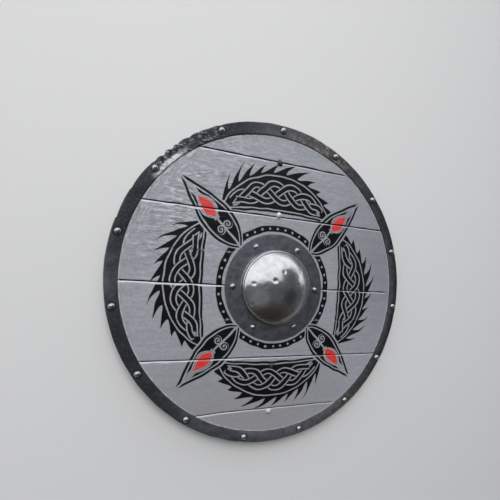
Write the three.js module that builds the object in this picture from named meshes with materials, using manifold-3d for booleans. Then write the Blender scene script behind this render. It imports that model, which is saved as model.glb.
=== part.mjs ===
// A round wooden shield, lying on its back with the face up.
// Six planks are edge-joined into a flat disc. A folded steel strip wraps the edge, a hollow steel boss
// covers the hand hole, and a wooden batten across the back is the grip. Domed rivets hold it together.
// Millimetres, +Z up. X runs along the planks, Y along the batten. The origin is under the shield's
// middle, on the surface that the batten lies on.
import * as THREE from 'three';
import { mergeVertices } from 'three/addons/utils/BufferGeometryUtils.js';
import Module from 'manifold-3d';

const wasm = await Module();
wasm.setup();

// ---------------------------------------------------------------- driving dimensions

const SHIELD_RADIUS = 305;                          // over the steel rim
const SHEET = 1.5;                                  // thickness of the steel sheet
const PLAY = 0.3;                                   // space kept between neighbouring pieces

const BOARD_THICKNESS = 10;
const JOINTS = [237, 135.5, 1.5, -135, -237.5];     // Y of the joints between the planks, from the top
const GROOVE = 1.5;                                 // chamfer on each plank's front edges along a joint

const RIM_BAND = 21.7;                              // width of the rim's legs, front and back
const RIM_CORNER = 2.5;                             // outer radius where the strip folds over the edge

const FLANGE_RADIUS = 102.6;
const HAND_HOLE_RADIUS = 62.5;
const BOSS_HEIGHT = 40.7;                           // from the flange's underside to the top of the dome
const BOSS_FOOT_RADIUS = 70.8;                      // outside of the short wall between flange and dome
const BOSS_FOOT_HEIGHT = 9.5;                       // where the wall turns over its bead into the dome
const BOSS_FILLET = 6;                              // hollow corner between flange and wall
const DOME_BASE_RADIUS = 69.6;
const DOME_BASE_SLOPE = THREE.MathUtils.degToRad(47);

const BATTEN_LENGTH = 524;
const BATTEN_WIDTH = 34;
const BATTEN_THICKNESS = 16;
const GRIP_WIDTH = 28;                              // the batten is waisted where the hand closes round it
const GRIP_HALF_LENGTH = 45;
const GRIP_SHOULDER = 40;                           // length over which the waist widens again
const BATTEN_EDGE = 2;                              // chamfer along the batten's edges
const TAIL_RECESS_DEPTH = 3.5;                      // the batten's rivet tails lie sunk in its back

const RIVET_HEAD_RADIUS = 6;
const RIVET_HEAD_HEIGHT = 4.2;
const RIVET_SHANK_RADIUS = 2.5;
const RIVET_TAIL_RADIUS = 4.4;
const RIVET_TAIL_HEIGHT = 1.9;

const RIM_RIVETS = 15;
const RIM_RIVET_RADIUS = 294.7;                     // circle on which the rim rivets sit
const FIRST_RIM_RIVET = 140.5;                      // degrees from +X, beside the strip's closing stretch
const CLOSING_STEP = 27.2;                          // degrees between the last rim rivet and the first
const BOSS_RIVETS = 6;
const BOSS_RIVET_RADIUS = 87;
const GRIP_RIVETS = [[-1, 236], [1, 139], [-2, -151], [-4, -243]];

const RIM_SIDES = 72;
const BOSS_SIDES = 48;
const RIVET_SIDES = 8;

// Heights, from the batten's underside upwards.
const BOARD_BACK = BATTEN_THICKNESS + PLAY;
const BOARD_FRONT = BOARD_BACK + BOARD_THICKNESS;
const RIM_BACK = BOARD_BACK - PLAY - SHEET;
const RIM_FRONT = BOARD_FRONT + PLAY + SHEET;
const FLANGE_BACK = BOARD_FRONT + PLAY;

// ---------------------------------------------------------------- materials

const material = (color, roughness, metalness) => new THREE.MeshStandardMaterial({ color, roughness, metalness });
const greyPaint = material(0x9a9da2, 0.5, 0);
const darkSteel = material(0x3a3d43, 0.45, 1);
const brightSteel = material(0xa9acb0, 0.3, 1);
const oiledWood = material(0x9c7347, 0.65, 0);

// ---------------------------------------------------------------- shaping

// A three.js geometry as a closed solid: shared corners merged, triangles with two equal corners dropped.
function solid(geometry) {
  const bare = geometry.clone();
  bare.deleteAttribute('normal');
  bare.deleteAttribute('uv');
  const merged = mergeVertices(bare);
  const corners = merged.index.array;
  const triangles = [];
  for (let i = 0; i < corners.length; i += 3) {
    const [a, b, c] = corners.slice(i, i + 3);
    if (a !== b && b !== c && c !== a) triangles.push(a, b, c);
  }
  return new wasm.Manifold(new wasm.Mesh({
    numProp: 3,
    vertProperties: new Float32Array(merged.attributes.position.array),
    triVerts: new Uint32Array(triangles),
  }));
}

function geometryOf(manifold) {
  const { vertProperties, triVerts } = manifold.getMesh();
  const geometry = new THREE.BufferGeometry();
  geometry.setAttribute('position', new THREE.BufferAttribute(vertProperties, 3));
  geometry.setIndex(new THREE.BufferAttribute(triVerts, 1));
  return geometry;
}

// An upright cylinder between two heights.
function cylinder(radius, bottom, top, sides, x = 0, y = 0) {
  const geometry = new THREE.CylinderGeometry(radius, radius, top - bottom, sides);
  return geometry.rotateX(Math.PI / 2).translate(x, y, (bottom + top) / 2);
}

// A profile of [radius, height] pairs, counterclockwise, turned about the Z axis.
function turned(profile, sides) {
  const points = profile.map(([radius, height]) => new THREE.Vector2(radius, height));
  return new THREE.LatheGeometry(points, sides).rotateX(Math.PI / 2);
}

// Points on an arc of a profile, from one angle to another, in degrees from the radial direction.
function arc(centreRadius, centreHeight, radius, from, to, steps) {
  return Array.from({ length: steps + 1 }, (_, i) => {
    const angle = THREE.MathUtils.degToRad(from + (to - from) * i / steps);
    return [centreRadius + radius * Math.cos(angle), centreHeight + radius * Math.sin(angle)];
  });
}

// A shank's hole is a little wider than the shank, and goes right through everything on its line.
function drilled(body, places) {
  const holes = places.map(([x, y]) =>
    solid(cylinder(RIVET_SHANK_RADIUS + PLAY, -PLAY, FLANGE_BACK + BOSS_HEIGHT, RIVET_SIDES, x, y)));
  return holes.reduce((rest, hole) => rest.subtract(hole), body);
}

// ---------------------------------------------------------------- rivet places

const onCircle = (radius, degrees) => {
  const angle = THREE.MathUtils.degToRad(degrees);
  return [radius * Math.cos(angle), radius * Math.sin(angle)];
};
const rimPitch = (360 - CLOSING_STEP) / (RIM_RIVETS - 1);
const rimPlaces = Array.from({ length: RIM_RIVETS }, (_, i) =>
  onCircle(RIM_RIVET_RADIUS, FIRST_RIM_RIVET + rimPitch * i));
const bossPlaces = Array.from({ length: BOSS_RIVETS }, (_, i) =>
  onCircle(BOSS_RIVET_RADIUS, 360 / BOSS_RIVETS * i));
const allPlaces = [...rimPlaces, ...bossPlaces, ...GRIP_RIVETS];

// ---------------------------------------------------------------- planks

// A strip of board along X between two joints, trimmed to the disc. Its long front edges are chamfered,
// so that two neighbours leave a V groove; the outermost edges lie under the rim.
function plankSolid(upper, lower) {
  const top = upper - PLAY / 2;
  const bottom = lower + PLAY / 2;
  const section = new THREE.Shape();
  section.moveTo(bottom, BOARD_BACK);
  section.lineTo(top, BOARD_BACK);
  section.lineTo(top, BOARD_FRONT - GROOVE);
  section.lineTo(top - GROOVE, BOARD_FRONT);
  section.lineTo(bottom + GROOVE, BOARD_FRONT);
  section.lineTo(bottom, BOARD_FRONT - GROOVE);
  const strip = new THREE.ExtrudeGeometry(section, { depth: 2 * SHIELD_RADIUS, bevelEnabled: false });
  const alongX = new THREE.Matrix4().makeBasis(
    new THREE.Vector3(0, 1, 0), new THREE.Vector3(0, 0, 1), new THREE.Vector3(1, 0, 0));
  strip.applyMatrix4(alongX).translate(-SHIELD_RADIUS, 0, 0);
  const boardRadius = SHIELD_RADIUS - RIM_CORNER - PLAY;
  const disc = solid(cylinder(boardRadius, 0, RIM_FRONT, RIM_SIDES));
  const hole = solid(cylinder(HAND_HOLE_RADIUS, 0, RIM_FRONT, BOSS_SIDES));
  return drilled(solid(strip).intersect(disc).subtract(hole), allPlaces);
}

// ---------------------------------------------------------------- rim

// A U-shaped strip, open towards the middle: a leg on the face, a leg on the back, the fold outside.
function rimSolid() {
  const inner = SHIELD_RADIUS - RIM_BAND;
  const foldRadius = SHIELD_RADIUS - RIM_CORNER;
  const profile = [
    [inner, RIM_BACK],
    ...arc(foldRadius, RIM_BACK + RIM_CORNER, RIM_CORNER, -90, 0, 2),
    ...arc(foldRadius, RIM_FRONT - RIM_CORNER, RIM_CORNER, 0, 90, 2),
    [inner, RIM_FRONT],
    [inner, RIM_FRONT - SHEET],
    [SHIELD_RADIUS - SHEET, RIM_FRONT - SHEET],
    [SHIELD_RADIUS - SHEET, RIM_BACK + SHEET],
    [inner, RIM_BACK + SHEET],
    [inner, RIM_BACK],
  ];
  return drilled(solid(turned(profile, RIM_SIDES)), rimPlaces);
}

// ---------------------------------------------------------------- boss

// Sheet steel: a flat flange, a fillet up into a short wall, a small bead, then a spherical dome.
// The inside follows the outside at the thickness of the sheet.
function bossSolid() {
  const domeRadius = DOME_BASE_RADIUS / Math.sin(DOME_BASE_SLOPE);
  const domeCentre = FLANGE_BACK + BOSS_HEIGHT - domeRadius;
  const domeBase = 90 - THREE.MathUtils.radToDeg(DOME_BASE_SLOPE);
  const filletRadius = BOSS_FOOT_RADIUS + BOSS_FILLET;
  const filletHeight = FLANGE_BACK + SHEET + BOSS_FILLET;
  const wallTop = FLANGE_BACK + BOSS_FOOT_HEIGHT;
  const innerWall = BOSS_FOOT_RADIUS - SHEET;
  const outside = [
    [FLANGE_RADIUS, FLANGE_BACK],
    [FLANGE_RADIUS, FLANGE_BACK + SHEET],
    ...arc(filletRadius, filletHeight, BOSS_FILLET, -90, -180, 2),
    [BOSS_FOOT_RADIUS, wallTop],
    ...arc(0, domeCentre, domeRadius, domeBase, 90, 6),
  ];
  const inside = [
    ...arc(0, domeCentre, domeRadius - SHEET, 90, domeBase, 5),
    [innerWall, wallTop - SHEET / 2],
    ...arc(filletRadius, filletHeight, BOSS_FILLET + SHEET, -180, -90, 2),
    [FLANGE_RADIUS, FLANGE_BACK],
  ];
  return drilled(solid(turned([...outside, ...inside], BOSS_SIDES)), bossPlaces);
}

// ---------------------------------------------------------------- grip batten

// Half the batten's width at a distance from its middle: waisted for the hand, rounded off at the ends.
function battenHalfWidth(y) {
  const wide = BATTEN_WIDTH / 2 - BATTEN_EDGE;
  const narrow = GRIP_WIDTH / 2 - BATTEN_EDGE;
  const away = Math.abs(y);
  const waist = THREE.MathUtils.smoothstep(away, GRIP_HALF_LENGTH, GRIP_HALF_LENGTH + GRIP_SHOULDER);
  const intoEnd = Math.max(0, away - (BATTEN_LENGTH / 2 - BATTEN_EDGE - wide)) / wide;
  return (narrow + (wide - narrow) * waist) * Math.sqrt(Math.max(0, 1 - 0.8 * intoEnd ** 2));
}

function battenSolid() {
  const half = BATTEN_LENGTH / 2 - BATTEN_EDGE;
  const endStart = half - BATTEN_WIDTH / 2 + BATTEN_EDGE;
  const upperHalf = [0, GRIP_HALF_LENGTH];
  for (let step = 1; step <= 3; step++) upperHalf.push(GRIP_HALF_LENGTH + GRIP_SHOULDER * step / 3);
  for (let step = 0; step <= 3; step++) upperHalf.push(endStart + (half - endStart) * step / 3);
  const stations = [...upperHalf.slice(1).map((y) => -y).reverse(), ...upperHalf];
  const rightSide = stations.map((y) => new THREE.Vector2(battenHalfWidth(y), y));
  const leftSide = stations.map((y) => new THREE.Vector2(-battenHalfWidth(y), y)).reverse();
  const lath = new THREE.ExtrudeGeometry(new THREE.Shape([...rightSide, ...leftSide]), {
    depth: BATTEN_THICKNESS - 2 * BATTEN_EDGE,
    bevelThickness: BATTEN_EDGE,
    bevelSize: BATTEN_EDGE,
    bevelSegments: 1,
  }).translate(0, 0, BATTEN_EDGE);
  const recessRadius = RIVET_TAIL_RADIUS + 2;
  const recesses = GRIP_RIVETS.map(([x, y]) =>
    solid(cylinder(recessRadius, -PLAY, TAIL_RECESS_DEPTH, RIVET_SIDES, x, y)));
  return drilled(recesses.reduce((rest, recess) => rest.subtract(recess), solid(lath)), GRIP_RIVETS);
}

// ---------------------------------------------------------------- rivets

// A domed head on the face, the shank, and a low peened tail at the back. The head's underside is at
// `seat`, and the tail's upper side at `clench`.
function rivetGeometry(seat, clench) {
  const headSphere = (RIVET_HEAD_RADIUS ** 2 + RIVET_HEAD_HEIGHT ** 2) / (2 * RIVET_HEAD_HEIGHT);
  const headCentre = seat + RIVET_HEAD_HEIGHT - headSphere;
  const headEdge = THREE.MathUtils.radToDeg(Math.asin((seat - headCentre) / headSphere));
  const head = arc(0, headCentre, headSphere, headEdge, 90, 3);
  return turned([
    [0, clench - RIVET_TAIL_HEIGHT],
    [RIVET_TAIL_RADIUS * 0.7, clench - RIVET_TAIL_HEIGHT],
    [RIVET_TAIL_RADIUS, clench],
    [RIVET_SHANK_RADIUS, clench],
    [RIVET_SHANK_RADIUS, seat],
    ...head.slice(0, -1),
    [0, seat + RIVET_HEAD_HEIGHT],
  ], RIVET_SIDES);
}

// ---------------------------------------------------------------- assembly

const shield = new THREE.Group();

function add(name, geometry, finish, x = 0, y = 0) {
  const mesh = new THREE.Mesh(geometry, finish);
  mesh.name = name;
  mesh.position.set(x, y, 0);
  shield.add(mesh);
}

const edges = [SHIELD_RADIUS, ...JOINTS, -SHIELD_RADIUS];
for (let i = 1; i < edges.length; i++) {
  add(`plank_${i}`, geometryOf(plankSolid(edges[i - 1], edges[i])), greyPaint);
}
add('rim', geometryOf(rimSolid()), darkSteel);
add('boss', geometryOf(bossSolid()), brightSteel);
add('grip_batten', geometryOf(battenSolid()), oiledWood);

const rimRivet = geometryOf(solid(rivetGeometry(RIM_FRONT + PLAY, RIM_BACK - PLAY)));
rimPlaces.forEach(([x, y], i) => {
  add(`rim_rivet_${String(i + 1).padStart(2, '0')}`, rimRivet, brightSteel, x, y);
});
const bossRivet = geometryOf(solid(rivetGeometry(FLANGE_BACK + SHEET + PLAY, BOARD_BACK - PLAY)));
bossPlaces.forEach(([x, y], i) => {
  add(`boss_rivet_${i + 1}`, bossRivet, brightSteel, x, y);
});
const gripRivet = geometryOf(solid(rivetGeometry(BOARD_FRONT + PLAY, TAIL_RECESS_DEPTH - PLAY)));
GRIP_RIVETS.forEach(([x, y], i) => {
  add(`grip_rivet_${i + 1}`, gripRivet, darkSteel, x, y);
});

export default shield;
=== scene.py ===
import math

import bmesh
import bpy
import numpy as np
from mathutils import Matrix, Vector


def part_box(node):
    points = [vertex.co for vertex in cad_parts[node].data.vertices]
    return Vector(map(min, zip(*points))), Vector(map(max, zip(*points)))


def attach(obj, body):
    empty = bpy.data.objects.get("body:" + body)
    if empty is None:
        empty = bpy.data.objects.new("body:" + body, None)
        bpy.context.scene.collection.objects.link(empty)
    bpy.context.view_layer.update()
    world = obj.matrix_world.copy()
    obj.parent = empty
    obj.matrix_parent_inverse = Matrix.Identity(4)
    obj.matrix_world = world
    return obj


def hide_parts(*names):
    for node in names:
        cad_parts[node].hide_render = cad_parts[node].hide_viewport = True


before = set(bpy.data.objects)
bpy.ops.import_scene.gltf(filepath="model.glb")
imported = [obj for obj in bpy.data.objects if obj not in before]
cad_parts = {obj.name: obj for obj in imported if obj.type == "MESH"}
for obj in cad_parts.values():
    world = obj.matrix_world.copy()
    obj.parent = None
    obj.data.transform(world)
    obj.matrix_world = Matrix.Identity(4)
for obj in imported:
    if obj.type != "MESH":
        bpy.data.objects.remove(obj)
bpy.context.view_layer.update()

# ------------------------------------------------------------------ studio
# The shield lies on its grip batten with the face up, on a pale seamless floor, and the camera looks down
# on it. A broad soft light stands beyond the shield's top, to its left; the side below it stays dim, as
# beside an overcast window.

MM = 0.001                            # a millimetre, in the metres that the scene counts in
FLOOR_SIZE = 12.0                     # metres, as the places of the camera and the light
CAMERA_LENS = 22.96
CAMERA_SHIFT = 0.132
CAMERA_ROLL = math.radians(2.15)
SOFTBOX_PLACE = Vector((-0.5, 1.1, 1.7))


def corners(part):
    """Lowest and highest corner of a CAD node, in millimetres."""
    low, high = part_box(part)
    return np.array(low) / MM, np.array(high) / MM


RIM_FRONT = corners("rim")[1][2]
CAMERA_PLACE = Vector((-0.2656, -0.0146, RIM_FRONT * MM + 0.5618))
LOOKED_AT = Vector((-0.0511, -0.0544, RIM_FRONT * MM))


def hex_colour(code):
    """An sRGB hex code such as "#919399" as linear red, green, blue and alpha."""
    channels = [int(code[i:i + 2], 16) / 255 for i in (1, 3, 5)]
    linear = [c / 12.92 if c <= 0.04045 else ((c + 0.055) / 1.055) ** 2.4 for c in channels]
    return (*linear, 1.0)


def feed(tree, socket, value):
    """Gives a socket a number, the colour of a hex code, or a link to another node's output. None leaves
    it as it is."""
    if isinstance(value, bpy.types.NodeSocket):
        tree.links.new(value, socket)
    elif value is not None:
        socket.default_value = hex_colour(value) if isinstance(value, str) else value


def node(tree, kind, *inputs, output=0, **settings):
    """Adds a node and gives back its output of that number or name. The inputs go to the sockets that the
    settings leave in use, in their order."""
    made = tree.nodes.new("ShaderNode" + kind)
    for name, value in settings.items():
        setattr(made, name, value)
    for socket, value in zip([socket for socket in made.inputs if socket.enabled], inputs):
        feed(tree, socket, value)
    if isinstance(output, str):
        return made.outputs[output]
    return [socket for socket in made.outputs if socket.enabled][output]


def shade(tree, looks):
    """Gives a material's shader its looks, by the names of its sockets."""
    for name, value in looks.items():
        feed(tree, tree.nodes["Principled BSDF"].inputs[name], value)


floor_paper = bpy.data.materials.new("pale_studio_paper")
floor_paper.use_nodes = True
shade(floor_paper.node_tree, {"Base Color": "#d9d8d5", "Roughness": 0.9, "Specular IOR Level": 0.2})


def add_object(name, data):
    """Puts a new object with this mesh, camera or light into the scene."""
    made = bpy.data.objects.new(name, data)
    bpy.context.scene.collection.objects.link(made)
    return made


floor_mesh = bpy.data.meshes.new("floor")
half = FLOOR_SIZE / 2
floor_mesh.from_pydata([(-half, -half, 0), (half, -half, 0), (half, half, 0), (-half, half, 0)], [],
                       [(0, 1, 2, 3)])
floor_mesh.materials.append(floor_paper)
floor = add_object("floor", floor_mesh)

camera = add_object("camera", bpy.data.cameras.new("camera"))
bpy.context.scene.camera = camera
camera.data.sensor_width = 36
camera.data.lens = CAMERA_LENS
camera.data.shift_y = CAMERA_SHIFT
camera.data.clip_start = 0.01
towards_camera = (CAMERA_PLACE - LOOKED_AT).normalized()
camera_right = Vector((0, 1, 0)).cross(towards_camera).normalized()
camera_up = towards_camera.cross(camera_right)
turn = Matrix((camera_right, camera_up, towards_camera)).transposed().to_4x4()
camera.matrix_world = Matrix.Translation(CAMERA_PLACE) @ turn @ Matrix.Rotation(CAMERA_ROLL, 4, "Z")

softbox = add_object("softbox", bpy.data.lights.new("softbox", "AREA"))
softbox.data.shape = "DISK"
softbox.data.size = 1.2
softbox.data.energy = 20
softbox.visible_glossy = False
softbox.location = SOFTBOX_PLACE
softbox.rotation_euler = (-SOFTBOX_PLACE).to_track_quat("-Z", "Y").to_euler()
bpy.context.scene.view_settings.view_transform = "Standard"

# The room is a colour by direction: grey walls with a dim warm side below the shield, a reflector to its
# left, a dark screen to its right, and a window along the whole side above it, part of it behind a flag.
world = bpy.data.worlds.new("studio")
world.use_nodes = True
bpy.context.scene.world = world
tree = world.node_tree
direction = node(tree, "TexCoord", output="Generated")


def towards(polar, azimuth):
    """Unit vector at an angle from straight up, on a compass side counted from +X, both in degrees."""
    polar, azimuth = math.radians(polar), math.radians(azimuth)
    return (math.sin(polar) * math.cos(azimuth), math.sin(polar) * math.sin(azimuth), math.cos(polar))


def lit_side(axis, begin, end):
    """0 to 1 as the direction's part along axis goes from begin to end."""
    along = node(tree, "VectorMath", direction, axis, operation="DOT_PRODUCT")
    return node(tree, "MapRange", along, begin, end, interpolation_type="SMOOTHSTEP")


def round_patch(axis, edge, core):
    """0 to 1 as the direction comes from edge to core degrees away from axis."""
    return lit_side(axis, math.cos(math.radians(edge)), math.cos(math.radians(core)))


window = lit_side(towards(105, 94), -0.03, 0.12)
flag = round_patch(towards(52, 25), 28, 19)
beside_flag = node(tree, "Math", 1.0, flag, operation="SUBTRACT")
glow = node(tree, "Math", window, beside_flag, operation="MULTIPLY")
low_front = lit_side(towards(85, -85), 0.45, 0.95)
reflector = round_patch(towards(42, 215), 30, 8)
dark_screen = round_patch(towards(49, -21), 24, 5)
room = "#64666a"
for share, tone in ((low_front, "#3d372f"), (reflector, "#87898c"), (dark_screen, "#3c3d40"),
                    (glow, "#f4f7ff")):
    room = node(tree, "Mix", share, room, tone, data_type="RGBA")
background = tree.nodes["Background"]
feed(tree, background.inputs["Color"], room)
feed(tree, background.inputs["Strength"], node(tree, "MapRange", glow, 0.0, 1.0, 1.0, 1.7))

# ------------------------------------------------------------------ planks
# Six softwood boards, about 10 mm thick, joined edge to edge and trimmed to a round. A shallow V groove
# runs along each joint, and some die out short of the rim on the right. The face is brushed with grey
# acrylic along the boards, then hand-painted in black and red; the back is left as planed, oiled wood.

PLAY = 0.3                            # between neighbouring pieces
BOARD_BACK, BOARD_FRONT = (corner[2] for corner in corners("plank_3"))
SHIELD_RADIUS = corners("rim")[1][0]
RIM_INNER = SHIELD_RADIUS - 21.7      # where the rim's two legs end on the boards
BOARD_EDGE = SHIELD_RADIUS - 4        # the boards end inside the rim's fold
BOARD_GRID = 1.3                      # spacing of the front's points
JOINT_ROWS = np.array([0.05, 0.35, 0.7, 1.05, 1.4, 1.75, 2.2, 2.8])   # closer rows, from a joint inwards
EVEN_ROWS_START = 3.6                 # from a joint
NARROWEST_HALF = 8                    # half the length of a plank's shortest row
JOINT_WANDER = 0.25
JOINT_DIP = 2.6                       # of the lowest joint, towards its left end
GROOVE_DEPTH = 1.5
GROOVE_HALF_WIDTH = 2.2
GROOVE_STOPS = [5, 0, 10, 0, 6]       # how far short of the rim each groove ends; 0 where it runs through
GROOVE_RUN_OUT = 7
HAND_HOLE_RADIUS = 62.5
BACK_CHAMFER = 0.6                    # along the back edges of each plank
JOINTS = [corners(f"plank_{i}")[0][1] - PLAY / 2 for i in range(1, 6)]


def ripple(x, y, size, seed, waves=20):
    """A smooth uneven field, mostly within -1 and 1: plane waves of random heading and phase, whose
    lengths lie around size, added up and scaled by the root of their number."""
    draw = np.random.default_rng(seed)
    total = np.zeros(np.broadcast(x, y).shape)
    for heading, stretch, phase in zip(draw.uniform(0, np.pi, waves), draw.uniform(0.7, 1.5, waves),
                                       draw.uniform(0, 2 * np.pi, waves)):
        along = x * np.cos(heading) + y * np.sin(heading)
        total += np.sin(2 * np.pi * along / (size * stretch) + phase)
    return total / math.sqrt(waves / 2) * 0.6


def smooth(value, begin, end):
    """0 at begin, 1 at end, with a level start and finish: t * t * (3 - 2 * t)."""
    t = np.clip((value - begin) / (end - begin), 0, 1)
    return t * t * (3 - 2 * t)


def joint_line(number, x):
    """Y of a joint along its length: its nominal place, a slight wander, and a dip at the lowest one's
    left end. Joint 0 and joint 6 are the board's outermost edges."""
    if number in (0, 6):
        return np.full_like(x, BOARD_EDGE if number == 0 else -BOARD_EDGE)
    wander = JOINT_WANDER * ripple(x, 0 * x, 90, 40 + number)
    dip = JOINT_DIP * smooth(-x, 95, 150) if number == 5 else 0
    return JOINTS[number - 1] + wander - dip


def groove_reach(number, x):
    """1 along a joint's groove and 0 where it has run out, short of the rim on the right."""
    if number in (0, 6):
        return np.zeros_like(x)
    if GROOVE_STOPS[number - 1] == 0:
        return np.ones_like(x)
    end = math.sqrt(RIM_INNER ** 2 - JOINTS[number - 1] ** 2) - GROOVE_STOPS[number - 1]
    return 1 - smooth(x, end - GROOVE_RUN_OUT, end)


def groove(number, x, distance):
    """Depth of the groove beside a joint: a V with eased shoulders, of uneven depth."""
    uneven = 0.85 + 0.25 * ripple(x, 0 * x, 35, 60 + number)
    shape = np.clip(1 - distance / GROOVE_HALF_WIDTH, 0, 1) ** 1.3
    return GROOVE_DEPTH * uneven * groove_reach(number, x) * shape


def board_front(number, x, y):
    """Height of a plank's face: its own level, less the planing and brush marks and the joints' grooves."""
    above = joint_line(number - 1, x) - y
    below = y - joint_line(number, x)
    level = 0.1 * ((number * 5) % 3) / 2
    planing = 0.08 * (1 + ripple(x / 5, y, 26, 80 + number))
    strokes = 0.03 * (1 + ripple(x / 14, y, 5.0, 90 + number))
    dip = groove(number - 1, x, above) + groove(number, x, below)
    return BOARD_FRONT - level - np.clip(planing + strokes, 0, 0.5) - dip


def plank_face(number):
    """The face of a plank as a grid of places. Row v goes from the lower joint to the upper one, closer
    together beside them, and column u from the left end to the right, with the hand hole between the two
    middle columns. Also gives the number of columns on either side of it."""
    upper, lower = ([BOARD_EDGE] + JOINTS + [-BOARD_EDGE])[number - 1:number + 1]
    height = upper - lower
    even_rows = int((height - 2 * EVEN_ROWS_START) / BOARD_GRID)
    even = np.linspace(EVEN_ROWS_START, height - EVEN_ROWS_START, even_rows)
    across = np.concatenate([JOINT_ROWS, even, (height - JOINT_ROWS)[::-1]])
    nominal = lower + across
    reach = np.sqrt(np.clip(BOARD_EDGE ** 2 - nominal ** 2, NARROWEST_HALF ** 2, None))
    hole = np.sqrt(np.clip(HAND_HOLE_RADIUS ** 2 - nominal ** 2, 0, None))
    half_columns = int(reach.max() / BOARD_GRID)
    share = np.linspace(0, 1, half_columns)
    right = hole[:, None] + share[None, :] * (reach - hole)[:, None]
    x = np.concatenate([-right[:, ::-1], right], axis=1)
    slack = (across / height)[:, None]
    upper_shift, lower_shift = joint_line(number - 1, x) - upper, joint_line(number, x) - lower
    y = nominal[:, None] + upper_shift * slack + lower_shift * (1 - slack)
    return (x, y, board_front(number, x, y)), half_columns


def grid_quads(grid, joined=()):
    """Quads between neighbouring points of a grid, which are numbered row by row. joined lists the ways
    in which the grid closes on itself: 0 where its last row meets the first, 1 for its columns."""
    first = np.arange(grid[0].size).reshape(grid[0].shape)
    for way in joined:
        first = np.concatenate([first, first.take([0], axis=way)], axis=way)
    return np.stack([first[:-1, :-1], first[:-1, 1:], first[1:, 1:], first[1:, :-1]], axis=-1)


def new_piece(name, grid, quads, finish, parts, closing=None, crease=35):
    """A mesh object from a grid's x, y and z in millimetres. Points that share a place are merged, which
    closes seams and poles; closing may finish the shell; faces are smooth except across a crease."""
    mesh = bpy.data.meshes.new(name)
    points = np.stack(grid, axis=-1).reshape(-1, 3)
    mesh.from_pydata(points * MM, [], quads.reshape(-1, 4).tolist())
    work = bmesh.new()
    work.from_mesh(mesh)
    bmesh.ops.remove_doubles(work, verts=work.verts, dist=0.005 * MM)
    if closing:
        closing(work)
    bmesh.ops.recalc_face_normals(work, faces=work.faces)
    work.to_mesh(mesh)
    work.free()
    mesh.polygons.foreach_set("use_smooth", np.ones(len(mesh.polygons), bool))
    mesh.set_sharp_from_angle(angle=math.radians(crease))
    mesh.materials.append(finish)
    made = add_object(name, mesh)
    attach(made, "root")
    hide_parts(*parts)
    return made


def places(piece):
    """X, y and z of every point of a finished mesh, in millimetres."""
    flat = np.empty(len(piece.data.vertices) * 3, np.float32)
    piece.data.vertices.foreach_get("co", flat)
    return flat.reshape(-1, 3).astype(float).T / MM


def mark(piece, **numbers):
    """Keeps numbers for each point of a mesh, for its material to read."""
    for name, values in numbers.items():
        layer = piece.data.attributes.new(name, "FLOAT", "POINT")
        layer.data.foreach_set("value", np.asarray(values, np.float32))


def drawn_edge(work, edges, factors, centre):
    """Draws a new band out from an open edge, scaled about a centre in metres. Gives the band's free edge
    and the points along it."""
    drawn = bmesh.ops.extrude_edge_only(work, edges=edges)["geom"]
    free = [item for item in drawn if isinstance(item, bmesh.types.BMEdge)]
    ring = [item for item in drawn if isinstance(item, bmesh.types.BMVert)]
    bmesh.ops.scale(work, vec=factors, space=Matrix.Translation((0, -centre[0], -centre[1])), verts=ring)
    return free, ring


def board_back(work):
    """Closes a plank: its open edge is drawn down to the back's chamfer, in to the back, and filled."""
    edges = [edge for edge in work.edges if edge.is_boundary]
    edges, ring = drawn_edge(work, edges, (1, 1, 0), (0, (BOARD_BACK + BACK_CHAMFER) * MM))
    lowest, highest = min(v.co.y for v in ring), max(v.co.y for v in ring)
    narrower = 1 - 2 * BACK_CHAMFER * MM / (highest - lowest)
    edges, ring = drawn_edge(work, edges, (1, narrower, 0), ((lowest + highest) / 2, BOARD_BACK * MM))
    bmesh.ops.edgeloop_fill(work, edges=edges)


# The painted design, as signed distances in millimetres to the edge of the paint, positive inside it.
# Four tapering crescents hold a plait of three bands and carry flame points on their outer edge. Between
# them stand four leaf blades with a red drop. A beaded ring closes the design round the boss.

LINE = 2.4                            # width of the pale lines left open in the black
BORDER = 5.5                          # from a black shape's edge to the pale line that follows it
CRESCENT_RADIUS = 180
CRESCENT_HALF_WIDTH = 37
CRESCENT_SPAN = math.radians(40)      # from the crescent's middle to a tip
TUFTS = 10
TALLEST_TUFT = 30
BAND_HALF_WIDTH = 4.8                 # of each band in the plait
PLAIT_MARGIN = 13.5                   # from the crescent's edge to the plait
PLAIT_WAVES = 2.25                    # half waves of a band on either side of the crescent's middle
LEAF_FOOT = 104                       # from the shield's middle, as the next five
LEAF_TIP = 266
DROP_FOOT = 174
VOLUTE_OUT = 150
STEM = (160, 171)
DOTS = (127, 134)
LEAF_HALF_WIDTH = 29
LEAF_MARGIN = 3.2                     # left grey round a leaf
DOT_RADIUS = 1.9
DROP_LENGTH = 46
DROP_HALF_WIDTH = 10
DROP_MARGIN = 1.6                     # left grey between the red and the black
DROP_TO_LINE = 2.6                    # from the red to the pale line round it
VOLUTE_SIDE = 8.6                     # of a volute's middle, from the leaf's vein
VOLUTE_RADIUS = 9.2
VOLUTE_PITCH = 5.0
RING_RADIUS = 113.5
RING_HALF_WIDTH = 5.8
RING_BEADS = 44
RING_BEAD_RADIUS = 2.3
RING_ZONE = 121                       # within this radius the ring stops where a leaf comes near
WAVER = 0.7                           # of the painter's hand
NOT_HERE = -50.0                      # a distance far outside every shape


def about(angle, start, parts=4):
    """The angle from the nearest of the axes that split the round evenly, the first one at start."""
    step = 2 * math.pi / parts
    return (angle - start + step / 2) % step - step / 2


def crescent_half_width(turned):
    """Half the crescent's width, drawn out to a point at both ends: with s the share of the way to a tip,
    the full half width times (1 - s * s) ** 0.8."""
    return CRESCENT_HALF_WIDTH * np.clip(1 - (turned / CRESCENT_SPAN) ** 2, 0, None) ** 0.8


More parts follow.
